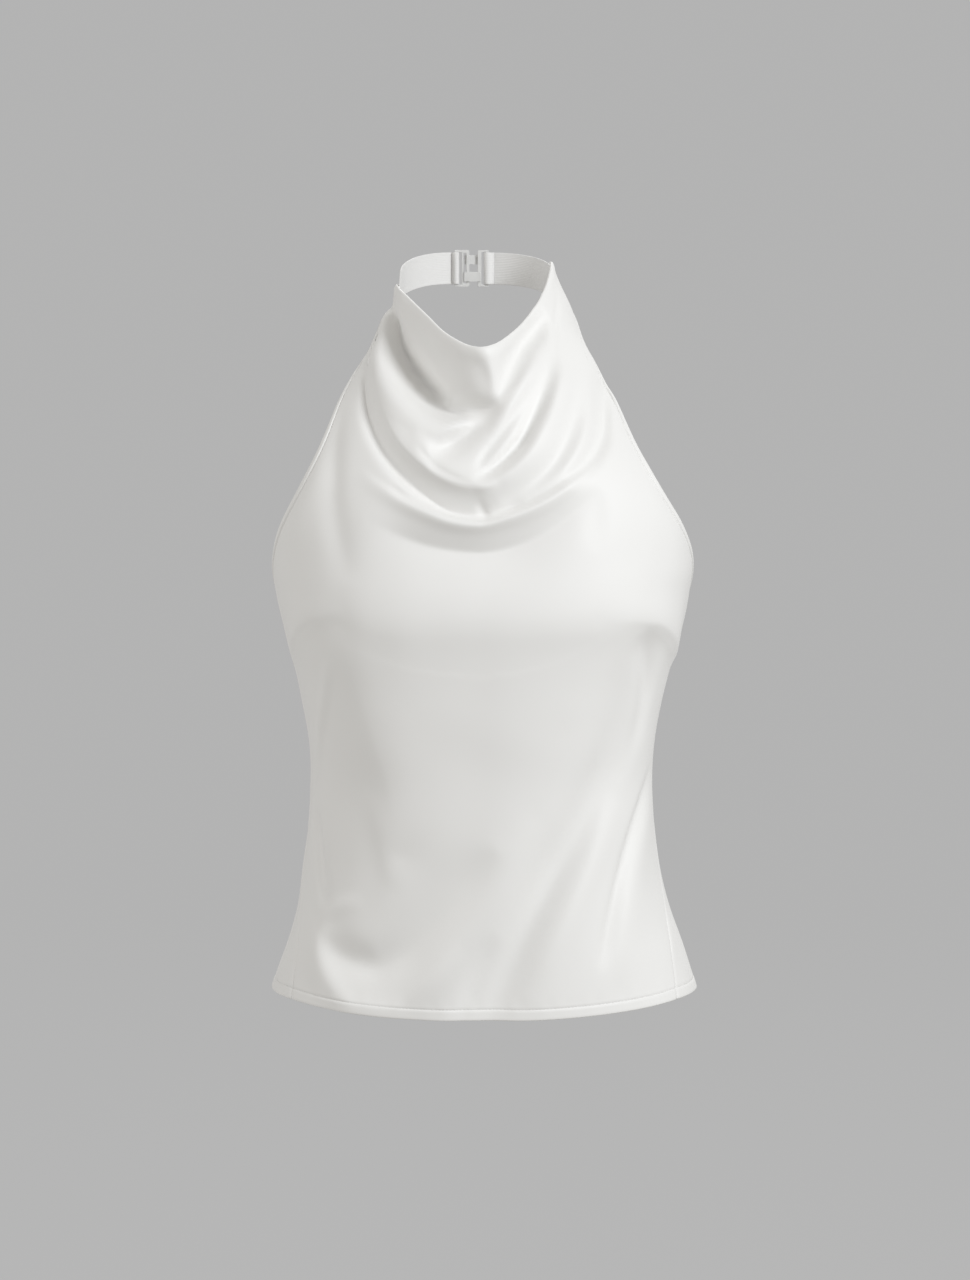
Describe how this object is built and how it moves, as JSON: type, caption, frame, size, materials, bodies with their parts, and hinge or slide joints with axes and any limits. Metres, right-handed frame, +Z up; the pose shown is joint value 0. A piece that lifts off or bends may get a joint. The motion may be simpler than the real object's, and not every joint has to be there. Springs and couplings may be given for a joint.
{
  "type": "halter-neck blouse",
  "caption": "Sleeveless satin halter top with a draped cowl neck, darted bust, open back and an elastic neck strap fastened by a flat plastic clasp.",
  "frame": {"origin": "the middle of the neck loop, level with the middle of the strap's height at the nape", "axes": "+Z up the worn garment, -Y towards its front, +X towards the wearer's left, which is the right as seen from the front"},
  "size_m": [0.3151, 0.2519, 0.5557],
  "materials": {
    "satin": "ivory polyester satin, face outwards",
    "elastic": "off-white ribbed elastic",
    "clasp_plastic": "pale moulded nylon"
  },
  "bodies": {
    "root": {"front_panel": "satin", "back_panel": "satin", "strap_left": "elastic", "strap_right": "elastic", "clasp_loop": "clasp_plastic", "clasp_hook": "clasp_plastic"}
  },
  "joints": []
}
